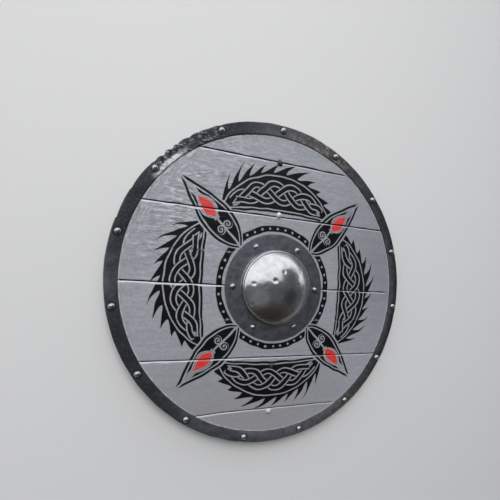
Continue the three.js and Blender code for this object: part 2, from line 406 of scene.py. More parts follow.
def tufts(turned, height):
    """Signed distance to a row of pointed tufts on the crescent's outer edge, at a height over it. Each
    tuft rises slowly, ends at once, and bends over the more the higher it is: with p the part of the way
    through a tuft, it fills the heights below size * p ** 1.8."""
    pitch = 2 * CRESCENT_SPAN * CRESCENT_RADIUS / TUFTS
    over = np.clip(height, 0, None)
    bent = turned * (CRESCENT_RADIUS + 35) - 0.35 * over - 0.022 * over ** 2
    place = bent / pitch + TUFTS / 2 + 0.5
    part = place % 1
    envelope = TALLEST_TUFT * np.clip(1 - (turned / CRESCENT_SPAN) ** 2, 0, None) ** 0.4
    size = envelope * (0.74 + 0.26 * np.cos(5 * np.floor(place) + 1))
    before = envelope * (0.74 + 0.26 * np.cos(5 * np.floor(place - 1) + 1))
    top = size * part ** 1.8
    inside = np.minimum(top - height, (1 - part) * pitch * 0.8)
    outside = -np.minimum(height - top, part * pitch * 0.8 + np.clip(height - before, 0, None))
    return np.where(height < top, inside, outside) * 0.8


def plait(turned, radius):
    """Pale edge lines of three bands round the crescent, which sway as sines a third of a wave apart. Where
    two cross, the lines of the lower one stop; the height is the sine of twice the phase."""
    sway = np.clip(crescent_half_width(turned) - PLAIT_MARGIN, 0, None) * 0.72
    beat = turned / CRESCENT_SPAN * PLAIT_WAVES * math.pi
    distances, heights = [], []
    for k in range(3):
        phase = beat + 2 * math.pi * k / 3
        slope = sway * PLAIT_WAVES * math.pi / CRESCENT_SPAN * np.cos(phase) / CRESCENT_RADIUS
        away = np.abs(radius - CRESCENT_RADIUS - sway * np.sin(phase)) / np.sqrt(1 + slope ** 2)
        distances.append(away)
        heights.append(np.sin(2 * phase))
    lines = np.full(turned.shape, NOT_HERE)
    for k in range(3):
        line = LINE / 2 - np.abs(distances[k] - BAND_HALF_WIDTH)
        for other in {0, 1, 2} - {k}:
            clear = np.minimum(line, distances[other] - BAND_HALF_WIDTH - LINE * 0.9)
            line = np.where(heights[other] > heights[k], clear, line)
        lines = np.maximum(lines, line)
    return np.where(np.abs(turned) < CRESCENT_SPAN * 0.8, lines, NOT_HERE)


def spiral(x, y, size, pitch):
    """A pale line that winds outwards from a point: distance to the nearest turn of an even spiral."""
    away = np.hypot(x, y)
    turns = away / pitch - np.arctan2(y, x) / (2 * math.pi)
    line = LINE / 2 - np.abs((turns + 0.5) % 1 - 0.5) * pitch
    return np.minimum(line, size - away)


def crescents(radius, angle):
    """Signed distance to the black of the four crescents. Every second one is mirrored."""
    turned = about(angle, 0)
    quarter = np.round(angle / (math.pi / 2)).astype(int) % 4
    turned = np.where(quarter % 2 == 0, turned, -turned)
    width = crescent_half_width(turned)
    outer = tufts(turned, radius - CRESCENT_RADIUS - width)
    outer = np.where(np.abs(turned) < CRESCENT_SPAN, outer, NOT_HERE)
    whole = np.minimum(outer, (radius - CRESCENT_RADIUS + width) * 0.9)
    border = LINE / 2 - np.abs(width - BORDER - np.abs(radius - CRESCENT_RADIUS))
    border = np.where(np.abs(turned) < CRESCENT_SPAN * 0.93, border, NOT_HERE)
    return np.minimum(whole, -np.maximum(border, plait(turned, radius)))


def leaves(radius, angle):
    """Signed distances to the four leaves' outlines, to their black, and to the red drops in them. With s
    the share of its length, a leaf is as wide as the sine of pi * s ** 0.7, a drop of pi * s ** 0.75. Pale
    lines mark the leaf's vein, two volutes and a stem."""
    lean = about(angle, math.pi / 4)
    side, out = radius * np.sin(lean), radius * np.cos(lean)
    share = np.clip((out - LEAF_FOOT) / (LEAF_TIP - LEAF_FOOT), 0, 1)
    leaf = (LEAF_HALF_WIDTH * np.sin(math.pi * share ** 0.7) - np.abs(side)) * 0.93
    vein = LINE / 2 - np.abs(leaf - BORDER)
    share = np.clip((out - DROP_FOOT) / DROP_LENGTH, 0, 1)
    drop = (DROP_HALF_WIDTH * np.sin(math.pi * share ** 0.75) - np.abs(side)) * 0.9
    ring = LINE / 2 - np.abs(drop + DROP_TO_LINE + LINE / 2)
    ring = np.where((leaf > BORDER) & (out > DROP_FOOT - 6), ring, NOT_HERE)
    volute = spiral(np.abs(side) - VOLUTE_SIDE, out - VOLUTE_OUT, VOLUTE_RADIUS, VOLUTE_PITCH)
    stem = np.where((out > STEM[0]) & (out < STEM[1]), LINE / 2 - np.abs(side), NOT_HERE)
    dots = DOT_RADIUS - np.minimum(np.hypot(side, out - DOTS[0]), np.hypot(side, out - DOTS[1]))
    pale = np.maximum.reduce([vein, ring, volute, stem, dots])
    return leaf, np.minimum.reduce([leaf, -pale, -drop - DROP_MARGIN]), drop


def black_and_red(x, y):
    """Signed distances to the black paint and to the red paint, over the whole face. The hand wavers a
    little, so the place is shifted by a slow ripple first."""
    x = x + WAVER * ripple(x, y, 34, 7)
    y = y + WAVER * ripple(x, y, 34, 8)
    radius = np.hypot(x, y)
    angle = np.arctan2(y, x)
    leaf, blade, drop = leaves(radius, angle)
    gap = leaf + LEAF_MARGIN
    black = np.minimum(crescents(radius, angle), -gap)
    bead_away = np.hypot(radius * about(angle, 0, RING_BEADS), radius - RING_RADIUS)
    band = np.minimum(RING_HALF_WIDTH - np.abs(radius - RING_RADIUS), bead_away - RING_BEAD_RADIUS)
    cut_band = np.where(leaf > -3, -gap, band)
    band = np.where(radius < RING_ZONE, np.minimum(band, cut_band), band)
    return np.maximum.reduce([black, blade, band]), drop


# The finish is acrylic paint on softwood, laid on with a wide flat brush along the boards: a soft sheen
# broken by bristle marks, and dabs of nearly dry paint towards the upper left, which also stand in as a
# painted glare there. Dirt and dried paint darken the grooves, together with a painted shade on their upper
# side. The black and red are thinner, glossier coats. Sizes are in mm, across and along the marks.

BRISTLE = (1.6, 26)                   # a bristle mark; drawn coarser than real ones, so that it shows
SWEEP = (9, 260)                      # a sweep of the brush
DAB = (2.0, 11)                       # a dab of nearly dry paint
RIM_DAB = (2.6, 10)                   # the same where the brush followed the rim
PATCH = (11, 34)                      # a patch of such dabs
SMEAR = (5, 24)                       # a smear between them
CLOUD = (70, 112)                     # the broad, barely visible changes of shade
CLOTH = 5                             # where the wet paint was dabbed with a cloth
YEAR_RING = (3.5, 420)                # on the bare back
TURNING = (252, 278)                  # radii between which the strokes turn to follow the rim


def new_finish(name, *numbers):
    """A new material, its node tree, the place on the piece, and the numbers kept in the piece's mesh."""
    made = bpy.data.materials.new(name)
    made.use_nodes = True
    tree = made.node_tree
    kept = {number: node(tree, "Attribute", attribute_name=number, output="Fac") for number in numbers}
    return made, tree, node(tree, "TexCoord", output="Object"), kept


def streaks(tree, place, size, detail=3.0, offset=0.0, per_unit=1000):
    """Noise drawn out along X: marks of a width and a length in millimetres. per_unit is the millimetres in
    one unit of the place."""
    width, length = size
    scales = (per_unit / length, per_unit / width, per_unit / width)
    drawn_out = node(tree, "Mapping", place, (offset, offset, 0.0), None, scales)
    return node(tree, "TexNoise", drawn_out, 1.0, detail, 0.6)


def coat(tree, below, tone, source, begin=0.0, end=1.0, least=0.0, most=1.0, within=None):
    """A tone laid over what is below it. Its share goes from least to most as source goes from begin to
    end, and is then multiplied by within."""
    share = node(tree, "MapRange", source, begin, end, least, most)
    if within is not None:
        share = node(tree, "Math", share, within, operation="MULTIPLY")
    return node(tree, "Mix", share, below, tone, data_type="RGBA")


planed_and_painted, tree, place, kept = new_finish(
    "brushed_acrylic_on_softwood", "face", "black", "red", "dirt", "lip", "to_rim", "dry", "radius", "arc",
    "warmed", "shaded", "board")
bristles = streaks(tree, place, BRISTLE)
sweeps = streaks(tree, place, SWEEP, 2.0, 3.1)
clouds = streaks(tree, place, CLOUD, 3.0, 7.7)
patches = streaks(tree, place, PATCH, 2.0, 1.9)
cloth = node(tree, "TexNoise", place, 1000 / CLOTH, 5.0)
turned_in = node(tree, "MapRange", kept["radius"], *TURNING)
round_place = node(tree, "CombineXYZ", kept["arc"], kept["radius"])
round_dabs = streaks(tree, round_place, RIM_DAB, 4.0, per_unit=1)
dabs = node(tree, "Mix", turned_in, streaks(tree, place, DAB, 6.0, 5.7), round_dabs)
round_smears = streaks(tree, round_place, SMEAR, 5.0, per_unit=1)
smears = node(tree, "Mix", turned_in, streaks(tree, place, SMEAR, 5.0, 8.8), round_smears)
# Towards the upper left and the top, the dry brush's pale dabs and smears also stand in as a painted glare
# on the paint.
patchy = node(tree, "MapRange", patches, 0.38, 0.6, 0.15, 1.3)
dry = node(tree, "Math", kept["dry"], patchy, operation="MULTIPLY")

# The grey: broad shades, sweeps and bristle marks, the cloth's marks, smears, the board's shaded side and
# its warmer foot, and dry dabs over all; the pale smears and dabs towards the upper left are also a painted
# glare. Then the thinner black and red.
grey = "#8e9095"
for layer in (("#96989c", clouds, 0.35, 0.65),
              ("#a3a5aa", sweeps, 0.35, 0.65, 0.0, 0.35),
              ("#b4b7bb", bristles, 0.58, 0.75, 0.0, 0.3),
              ("#7b7e84", bristles, 0.42, 0.25, 0.0, 0.3),
              ("#aaadb2", cloth, 0.5, 0.7, 0.0, 0.35),
              ("#82858b", cloth, 0.5, 0.3, 0.0, 0.35),
              ("#bfc2c5", smears, 0.5, 0.66, 0.0, 0.75, kept["dry"]),
              ("#6d7072", smears, 0.47, 0.34, 0.0, 0.6, kept["dry"]),
              ("#63666b", kept["shaded"], 0.0, 1.0, 0.0, 0.34),
              ("#8f8c8b", kept["warmed"], 0.0, 1.0, 0.0, 0.6),
              ("#d2d5d8", dabs, 0.52, 0.7, 0.0, 1.0, dry),
              ("#63666b", dabs, 0.47, 0.36, 0.0, 0.6, dry)):
    grey = coat(tree, grey, *layer)
black_tone = coat(tree, "#070607", "#121113", sweeps, 0.35, 0.7)
# The black's lighter dabs towards the upper left are a painted sheen as well as dry brushing.
black_tone = coat(tree, black_tone, "#34312f", dabs, 0.52, 0.7, within=dry)
red_tone = coat(tree, "#c9302b", "#de4640", bristles, 0.35, 0.7)
black_cover = node(tree, "MapRange", kept["black"], -0.3, 0.3)
red_cover = node(tree, "MapRange", kept["red"], -0.3, 0.3)
painted = node(tree, "Mix", black_cover, grey, black_tone, data_type="RGBA")
painted = node(tree, "Mix", red_cover, painted, red_tone, data_type="RGBA")

# Over the paint: a painted highlight on the lip below each groove, as if the light from above caught it,
# fainter on red; the dirt in the grooves, with a painted shade on their upper side; paint piled up in a
# thick edge along the rim, drawn pale partly as a painted glint; and the painted shadow line beside the rim
# itself.
off_red = node(tree, "MapRange", red_cover, 0.0, 1.0, 1.0, 0.2)
lip_off_red = node(tree, "Math", kept["lip"], off_red, operation="MULTIPLY")
# The thick edge of paint along the rim is drawn pale, partly as a painted glint.
out_of_shadow = node(tree, "MapRange", kept["to_rim"], 0.5, 1.1)
by_rim = node(tree, "MapRange", kept["to_rim"], 3.0, 2.0)
thick_edge = node(tree, "Math", out_of_shadow, by_rim, operation="MULTIPLY")
for layer in (("#d3d5d8", bristles, 0.25, 0.5, 0.5, 1.0, lip_off_red),
              ("#141314", kept["dirt"]),
              ("#c3c6ca", dabs, 0.42, 0.56, 0.0, 0.85, thick_edge),
              ("#1b1b1d", kept["to_rim"], 1.0, 0.4, 0.0, 0.8)):
    painted = coat(tree, painted, *layer)

# The back and the edges are bare wood, and each board has its own shade.
rings = streaks(tree, place, YEAR_RING, 5.0, 11.0)
bare = coat(tree, "#73573a", "#957650", rings, 0.3, 0.7)
bare = coat(tree, bare, "#644a30", kept["board"], 0.0, 1.0, 0.0, 0.5)
on_face = node(tree, "MapRange", kept["face"], 0.35, 0.45)
black_face = node(tree, "Math", black_cover, on_face, operation="MULTIPLY")
bristle_height = node(tree, "Math", bristles, 0.35, operation="MULTIPLY")
dab_height = node(tree, "Math", dabs, dry, operation="MULTIPLY")
paint_height = node(tree, "Math", bristle_height, dab_height, operation="ADD")
ring_height = node(tree, "Math", rings, 0.5, operation="MULTIPLY")
height = node(tree, "Mix", on_face, ring_height, paint_height)
shade(tree, {"Base Color": node(tree, "Mix", on_face, bare, painted, data_type="RGBA"),
             "Roughness": node(tree, "MapRange", bristles, 0.3, 0.7, 0.34, 0.46),
             "Specular IOR Level": node(tree, "MapRange", black_face, 0.0, 1.0, 0.5, 0.22),
             "Normal": node(tree, "Bump", 0.7, 0.6 * MM, None, height)})

DIRT_WIDTHS = [1, 1.5, 1.3, 1.2, 1.0, 0.9, 1]    # of the dark line in each joint, against a plain one
STROKE_RADIUS = 280                   # radius along which the strokes that follow the rim are measured


def round_fade(x, y, centre, reach):
    """1 at a centre, fading away from it: e to the minus square of the distance, measured in reaches."""
    return np.exp(-(((x - centre[0]) / reach[0]) ** 2 + ((y - centre[1]) / reach[1]) ** 2))


for number in range(1, 7):
    face, half_columns = plank_face(number)
    quads = np.delete(grid_quads(face), half_columns - 1, axis=1)
    plank = new_piece(f"painted_plank_{number}", face, quads, planed_and_painted, [f"plank_{number}"],
                      closing=board_back)
    px, py, pz = places(plank)
    black, red = black_and_red(px, py)
    above = joint_line(number - 1, px) - py
    below = py - joint_line(number, px)
    upper_reach, lower_reach = groove_reach(number - 1, px), groove_reach(number, px)
    ragged = 1 + 0.3 * ripple(px / 3, py, 11, 70 + number)
    # The dark line in each joint is dirt and painted shade: wider on the groove's upper side, which faces
    # away from the light.
    upper_width, lower_width = DIRT_WIDTHS[number - 1] * ragged, DIRT_WIDTHS[number] * ragged
    upper_dirt = upper_reach * (1 - smooth(above, 0.35 * upper_width, 0.75 * upper_width))
    lower_dirt = lower_reach * (1 - smooth(below, 0.9 * lower_width, 1.6 * lower_width))
    # The lip below each groove gets a painted highlight, as if the light from above caught it: wider to the
    # left, fading to the right.
    lip_width = (1.9 + 0.9 * (1 - smooth(px, -200, -60))) * ragged
    lip = upper_reach * smooth(above, 0.6, 1.0) * (1 - smooth(above, lip_width, lip_width * 1.4))
    lip = lip * (1 - 0.5 * smooth(px, -160, 120)) * (0.75 if number > 4 else 1.0)
    dryness = (round_fade(px, py, (-195, 150), (110, 120)) + 0.16 * round_fade(px, py, (-255, 0), (70, 150))
               + 0.4 * round_fade(px, py, (-20, 240), (190, 70)))
    # The mesh keeps where it is painted, the distances to black, red and rim, the groove's dirt with its
    # painted shade and the painted highlight on its lip, how dry the brush was, which also places the
    # painted glare, the place along the rim, the broad changes of tone, and the board's own shade.
    mark(plank, face=pz > BOARD_BACK + 3, black=black, red=red, dirt=np.maximum(upper_dirt, lower_dirt),
         lip=lip, to_rim=RIM_INNER - np.hypot(px, py), dry=dryness, radius=np.hypot(px, py),
         arc=np.arctan2(-px, py) * STROKE_RADIUS, warmed=smooth(-py, 100, 240) * (1 - smooth(px, 60, 200)),
         shaded=round_fade(px, py, (250, 50), (90, 150)), board=np.full(len(px), (number * 0.41) % 1))

# ------------------------------------------------------------------ rim
# A strip of dark, scaled mild steel folded into a U over the boards' edge and hammered down. Where its
# ends meet, at the upper left, the fold was beaten in: it is pinched and notched, and rubbed bright.

RIM_BACK = corners("rim")[0][2]
RIM_MIDDLE = (RIM_BACK + RIM_FRONT) / 2
SHEET = RIM_FRONT - BOARD_FRONT - PLAY
RIM_STEPS = 1080
RIM_RIVETS = 15
RIM_CORNER = 2.5                      # radius of the fold's two corners
MM_PER_DEGREE = 2 * math.pi * SHIELD_RADIUS / 360
FOLD_ZONE = (RIM_INNER + 4, RIM_INNER + 11)       # radii between which the fold's beating sets in
# Notches in the beaten stretch: place in degrees, depth in mm, and width in degrees.
PINCHES = [(113.0, 0.6, 1.2), (117.2, 0.8, 1.4), (121.2, 1.0, 1.1), (124.8, 2.2, 1.3), (129.4, 3.0, 0.8),
           (131.9, 5.0, 1.0), (135.3, 4.4, 1.1), (138.6, 1.6, 0.9)]
# Laps of the strip: start in degrees, step in mm, and the degrees in which it eases out.
LAPS = [(150.5, 1.0, 6.0), (160.6, 1.4, 9.0)]
# How far the scale is lightened to grey, every 15 degrees from +X, by the boards and along the outer edge.
WEAR_ANGLES = np.arange(0, 361, 15)
WEAR_INSIDE = [0.55, 0.5, 0.25, 0.32, 0.36, 0.7, 0.5, 0.08, 0.0, 0.12, 0.04, 0.11,
               0.36, 0.13, 0.19, 0.3, 0.55, 0.75, 0.95, 1.0, 0.95, 0.38, 0.42, 0.55, 0.55]
WEAR_OUTSIDE = [0.1, 0.1, 0.19, 0.28, 0.3, 0.36, 0.3, 0.05, 0.0, 0.15, 0.06, 0.17,
                0.5, 0.12, 0.18, 0.18, 0.42, 0.48, 0.6, 0.85, 0.48, 0.25, 0.2, 0.12, 0.1]

SCUFF = (3.5, 10)                     # mm across and along a scuff


def blotches(tree, place, size, detail=4.0, offset=0.0):
    """Even noise whose patches are about size millimetres across."""
    moved = node(tree, "Mapping", place, (offset, offset, offset))
    return node(tree, "TexNoise", moved, 1000 / size, detail, 0.6)


# The rim's steel has the blue-black scale of hot rolling, waxed. It shines softly where it was hammered, is
# rubbed to bare metal on the beaten stretch, and has turned brown in places. A painted shade darkens the
# creases of the beaten fold, and grime with painted shade darkens the steel round each rivet head.
scaled_steel, tree, place, kept = new_finish(
    "hammered_blue_black_mild_steel", "wear", "outer_wear", "outwards", "rubbed", "grime", "crease",
    "inner_strip", "browned")
mottle = blotches(tree, place, 18)
specks = blotches(tree, place, 4, 5.0, 0.4)
flecks = blotches(tree, place, 7, 5.0, 0.9)
scuffs = streaks(tree, place, SCUFF, 5.0, 0.2)
# The rim's grey lightens by angle and across its width, as the tables give.
worn = node(tree, "Mix", kept["outwards"], kept["wear"], kept["outer_wear"])
lightened = node(tree, "MapRange", scuffs, 0.36, 0.5, 0.3, 1.0)
bare_metal = node(tree, "Math", kept["inner_strip"], lightened, operation="MULTIPLY")
# Painted shade darkens the creases of the beaten fold; grime and painted shade darken the ring round each
# rivet head.
sunk = node(tree, "MapRange", kept["crease"], 0.15, 0.7, 0.0, 0.9)
dirty = node(tree, "Math", sunk, kept["grime"], operation="MAXIMUM")
scale_tone = "#1e1f24"
for layer in (("#7a7b80", mottle, 0.3, 0.7, 0.5, 1.3, worn),
              ("#85878c", specks, 0.5, 0.75, 0.0, 0.28),
              ("#625a52", mottle, 0.35, 0.6, 0.2, 0.8, kept["browned"]),
              ("#a5a19a", flecks, 0.5, 0.62, 0.0, 0.75, kept["browned"]),
              ("#9c9da0", scuffs, 0.52, 0.62, 0.0, 0.75, kept["rubbed"]),
              ("#d6d6d4", bare_metal),
              ("#1c1d20", dirty)):
    scale_tone = coat(tree, scale_tone, *layer)
shade(tree, {"Base Color": scale_tone, "Metallic": node(tree, "MapRange", bare_metal, 0.0, 1.0, 0.55, 1.0),
             "Roughness": node(tree, "MapRange", mottle, 0.3, 0.7, 0.3, 0.42),
             "Normal": node(tree, "Bump", 0.15, 0.3 * MM, None, specks)})


def line(begin, end, count):
    """Evenly spaced points of a straight stretch, as radius and height."""
    return list(zip(np.linspace(begin[0], end[0], count), np.linspace(begin[1], end[1], count)))


def arc(centre, size, begin, end, count):
    """Evenly spaced points of an arc, as radius and height. Its angles, in degrees, are counted outwards
    from straight up: radius = centre + size * sine, height = centre + size * cosine."""
    return [(centre[0] + size * np.sin(a), centre[1] + size * np.cos(a))
            for a in np.radians(np.linspace(begin, end, count))]


def sheet_section(outside, inside):
    """A section's points as an array of radius, height, and 1 on the sheet's outside or 0 on its inside."""
    return np.array([(r, h, 1) for r, h in outside] + [(r, h, 0) for r, h in inside])


def rim_profile():
    """The U's section once round: the back leg's edge, the back leg, the fold, the front leg with its edge,
    and back along the inside."""
    fold = SHIELD_RADIUS - RIM_CORNER
    low, high = RIM_BACK + RIM_CORNER, RIM_FRONT - RIM_CORNER
    back_edge = [(RIM_INNER, RIM_BACK + SHEET - 0.2), (RIM_INNER, RIM_BACK + 0.5),
                 (RIM_INNER + 0.12, RIM_BACK + 0.15)]
    back = line((RIM_INNER + 0.5, RIM_BACK), (fold, RIM_BACK), 8)[:-1]
    web = line((SHIELD_RADIUS, low), (SHIELD_RADIUS, high), 6)[1:-1]
    web = arc((fold, low), RIM_CORNER, 180, 90, 6) + web + arc((fold, high), RIM_CORNER, 90, 0, 6)
    front = line((fold, RIM_FRONT), (RIM_INNER + 0.5, RIM_FRONT), 17)[1:]
    front_edge = [(RIM_INNER + 0.12, RIM_FRONT - 0.15), (RIM_INNER, RIM_FRONT - 0.5),
                  (RIM_INNER, RIM_FRONT - SHEET + 0.2)]
    inside = [(RIM_INNER + 0.3, RIM_FRONT - SHEET), (SHIELD_RADIUS - SHEET, RIM_FRONT - SHEET),
              (SHIELD_RADIUS - SHEET, RIM_BACK + SHEET), (RIM_INNER + 0.3, RIM_BACK + SHEET)]
    return sheet_section(back_edge + back + web + front + front_edge, inside)


def pinch(degrees):
    """How far the fold is beaten in at an angle: a row of sharp-bottomed notches, each falling off as e to
    the minus 1.4th power of the distance, measured in widths."""
    depth = np.zeros_like(degrees)
    for centre, deep, wide in PINCHES:
        depth = np.maximum(depth, deep * np.exp(-np.abs((degrees - centre) / wide) ** 1.4))
    return depth


def creases(degrees, radius):
    """Depth of the slanting creases that run inwards from the notches, across the front of the fold. They
    fall off to their sides like the notches."""
    depth = np.zeros_like(degrees)
    for centre, deep, wide in PINCHES:
        across = (degrees - centre) * MM_PER_DEGREE - 0.8 * (SHIELD_RADIUS - radius)
        depth += (0.4 + 0.12 * deep) * np.exp(-np.abs(across / 3.2) ** 1.5)
    return depth


def lap(degrees):
    """Small steps in the outer edge, where the strip was lapped: it steps in and eases out again, with the
    square of what is left of the run."""
    step = np.zeros_like(degrees)
    for start, deep, run in LAPS:
        past = start - degrees
        step += np.where((past > 0) & (past < run), deep * (1 - past / run) ** 2, 0)
    return step


def middle(part):
    """Middle of a CAD node's box, in millimetres."""
    return sum(corners(part)) / 2


def turned_profile(profile, steps):
    """A profile carried once round the middle, as a grid of angles by profile points. Gives the angle, the
    radius, and the profile's other columns at each point."""
    angles = np.linspace(0, 2 * math.pi, steps, endpoint=False)
    turned, radius = np.meshgrid(angles, profile[:, 0], indexing="ij")
    return turned, radius, *(np.broadcast_to(column, turned.shape) for column in profile.T[1:])


turned, radius, level, outer = turned_profile(rim_profile(), RIM_STEPS)
degrees = np.degrees(turned)
flat_x, flat_y = radius * np.cos(turned), radius * np.sin(turned)
on_fold = smooth(radius, *FOLD_ZONE)
outward = smooth(radius, RIM_INNER + 7, SHIELD_RADIUS)
beaten = smooth(degrees, 112, 122) * (1 - smooth(degrees, 139, 143))
hammered = 0.07 * (1 + ripple(flat_x, flat_y, 22, 21)) + 0.02 * (1 + ripple(flat_x, flat_y, 8, 22))
hammered = hammered + beaten * 0.12 * (1 + ripple(flat_x, flat_y, 9, 23)) * on_fold
hammered = hammered + creases(degrees, radius) * on_fold
drawn_in = (pinch(degrees) + lap(degrees)) * outward
edge_wave = 0.45 * ripple(degrees * 5, 0 * degrees, 60, 24) * (1 - smooth(radius, RIM_INNER, RIM_INNER + 6))
wavy_fold = np.clip(0.3 * (1 + ripple(degrees * 5, 0 * degrees, 42, 25)), 0, 0.7) * outward
radius = radius - drawn_in - wavy_fold + edge_wave
flat_part = np.clip(np.abs(level - RIM_MIDDLE) / (RIM_FRONT - RIM_MIDDLE), 0, 1) ** 4
level = level - np.sign(level - RIM_MIDDLE) * outer * flat_part * np.clip(hammered, 0, 1.25)
strip = (radius * np.cos(turned), radius * np.sin(turned), level)
rim = new_piece("steel_rim", strip, grid_quads(strip, joined=(0, 1)), scaled_steel, ["rim"])

px, py, pz = places(rim)
around = np.degrees(np.arctan2(py, px)) % 360
reach = np.hypot(px, py)
front_most = 0.3 + 0.7 * smooth(pz, RIM_MIDDLE, RIM_FRONT - 2)
# Round each rivet head the rim darkens: grime and painted shade where the head meets the strip.
rivet_places = np.array([middle(f"rim_rivet_{i:02d}") for i in range(1, RIM_RIVETS + 1)])
to_rivet = np.min(np.hypot(px[:, None] - rivet_places[:, 0], py[:, None] - rivet_places[:, 1]), axis=1)
browned = np.exp(-((around - 72) / 13) ** 2) + 0.5 * np.exp(-((around - 305) / 20) ** 2)
inner_strip = smooth(around, 127, 133) * (1 - smooth(around, 140, 144)) * (1 - smooth(reach, 288, 294))
# The creases' depth, for their painted shade.
crease = creases(around, reach) * smooth(reach, *FOLD_ZONE) * smooth(pz, RIM_FRONT - 4, RIM_FRONT - 1.5)
mark(rim, wear=np.interp(around, WEAR_ANGLES, WEAR_INSIDE),
     outer_wear=np.interp(around, WEAR_ANGLES, WEAR_OUTSIDE), outwards=smooth(reach, 287, 300),
     rubbed=smooth(around, 108, 122) * (1 - smooth(around, 139, 144)) * front_most,
     grime=1 - smooth(to_rivet, 6.2, 8.6), crease=crease,
     inner_strip=inner_strip * smooth(pz, RIM_MIDDLE, RIM_FRONT - 3), browned=browned * front_most)

# ------------------------------------------------------------------ boss
# A dome of 1.5 mm sheet steel, sunk by hand: a flat flange, a short wall, a rounded bead, then a shallow
# spherical crown, hollow behind. The crown is polished over its hammer marks, the flange is dull.

BOSS_STEPS = 300
BOSS_TOP = corners("boss")[1][2]
FLANGE_BACK = corners("boss")[0][2]
FLANGE_FRONT = FLANGE_BACK + SHEET
FLANGE_RADIUS = corners("boss")[1][0]
FOOT_RADIUS = 70.8                    # of the wall's outside
FILLET = 1.8                          # radius of the hollow corner between flange and wall
BEAD = 2.4                            # radius of the rounded bead that the wall turns over
BEAD_RADIUS = 68.6                    # from the boss's middle to the bead's own centre
BEAD_HEIGHT = FLANGE_BACK + 9.2
DOME_BASE_RADIUS = 69.6
DOME_SLOPE = math.radians(47)         # of the crown at that radius
DOME_RADIUS = DOME_BASE_RADIUS / math.sin(DOME_SLOPE)
DOME_CENTRE = BOSS_TOP - DOME_RADIUS
# Dents in the crown: x and y, width and depth.
DENTS = [(-54, 6, 5.5, 0.8), (-18, 13, 7, 1.2), (0.5, 29, 5.5, 0.7), (30, 7, 6, 0.4), (39, 31, 6, 0.5),
         (-37, 58, 6, 0.5), (-6, 66, 5, 0.4), (-35, 1, 7, 0.4), (-39, -21, 8, 0.5), (-21, -46, 8, 0.5),
         (-55, -32, 7, 0.5), (9, 46, 8, 0.4), (49, -24, 9, 0.4), (20, -39, 9, 0.4), (57, 5, 7, 0.4)]

# Mild steel, planished, then buffed on the crown only: a mirror with soft, uneven edges there, a dull grey
# on the flange.
beaten_steel, tree, place, kept = new_finish("polished_beaten_steel", "flange")
mottle = blotches(tree, place, 14)
fine = blotches(tree, place, 3, 4.0, 0.8)
crown_tone = coat(tree, "#c4c4c3", "#b0afac", mottle, 0.35, 0.7)
flange_tone = coat(tree, "#7e8086", "#a3a4a9", mottle, 0.35, 0.7)
steel_tone = node(tree, "Mix", kept["flange"], crown_tone, flange_tone, data_type="RGBA")
crown_dull = node(tree, "MapRange", mottle, 0.35, 0.7, 0.2, 0.26)
flange_dull = node(tree, "MapRange", fine, 0.3, 0.7, 0.32, 0.4)
height = node(tree, "Math", fine, kept["flange"], operation="MULTIPLY")
shade(tree, {"Base Color": steel_tone, "Metallic": 1.0,
             "Roughness": node(tree, "Mix", kept["flange"], crown_dull, flange_dull),
             "Normal": node(tree, "Bump", 0.12, 0.3 * MM, None, height)})


def boss_profile():
    """The sheet's section from the crown outwards over the outside, round the flange's edge, and back to
    the crown on the inside."""
    slope = math.degrees(DOME_SLOPE)
    crown = arc((0, DOME_CENTRE), DOME_RADIUS, 0, slope, 52)
    crown = [point for point in crown if point[0] < BEAD_RADIUS - 1.2]
    bead = arc((BEAD_RADIUS, BEAD_HEIGHT), BEAD, -15, 66, 12) + [(FOOT_RADIUS, BEAD_HEIGHT - 1.9)]
    fillet_centre = (FOOT_RADIUS + FILLET, FLANGE_FRONT + FILLET)
    fillet = arc(fillet_centre, FILLET, 270, 180, 9)
    flange = line((fillet_centre[0], FLANGE_FRONT), (FLANGE_RADIUS - 0.3, FLANGE_FRONT), 18)[1:]
    edge = [(FLANGE_RADIUS, FLANGE_FRONT - 0.3), (FLANGE_RADIUS, FLANGE_BACK + 0.2),
            (FLANGE_RADIUS - 0.2, FLANGE_BACK)]
    inner_fillet = arc(fillet_centre, FILLET + SHEET, 180, 270, 5)
    inner_crown = arc((0, DOME_CENTRE), DOME_RADIUS - SHEET, 0, slope, 52)[::-2]
    inner_crown[-1] = (0.0, BOSS_TOP - SHEET)
    return sheet_section(crown + bead + fillet + flange + edge, inner_fillet + inner_crown)


turned, radius, level, outer = turned_profile(boss_profile(), BOSS_STEPS)
flat_x, flat_y = radius * np.cos(turned), radius * np.sin(turned)
on_crown = 1 - smooth(radius, BEAD_RADIUS - 6, BEAD_RADIUS - 1.5)
beating = 0.10 * (1 + ripple(flat_x, flat_y, 30, 31)) + 0.05 * (1 + ripple(flat_x, flat_y, 13, 32))
beating = np.clip(beating, 0, 0.6) * on_crown
for dent_x, dent_y, wide, deep in DENTS:
    beating = beating + deep * round_fade(flat_x, flat_y, (dent_x, dent_y), (wide / 2, wide / 2)) * on_crown
on_flange = smooth(radius, FOOT_RADIUS + FILLET, FOOT_RADIUS + FILLET + 4)
planish = on_flange * np.clip(0.10 * (1 + ripple(flat_x, flat_y, 16, 33)), 0, 0.3)
normal_lean = np.where(radius < DOME_BASE_RADIUS, radius / DOME_RADIUS, 0)
radius = radius - beating * normal_lean * outer
level = level - (beating * np.sqrt(1 - normal_lean ** 2) + planish) * outer
sheet = (radius * np.cos(turned), radius * np.sin(turned), level)
boss = new_piece("steel_boss", sheet, grid_quads(sheet, joined=(0,)), beaten_steel, ["boss"],
                 crease=40)
px, py, pz = places(boss)
reach = np.hypot(px, py)
from_centre = np.hypot(reach, pz - DOME_CENTRE)
inside = (from_centre < DOME_RADIUS - SHEET * 0.8) & (pz < BOSS_TOP - SHEET + 0.1)
mark(boss, flange=np.maximum(smooth(reach, FOOT_RADIUS + 0.6, FOOT_RADIUS + FILLET), inside))

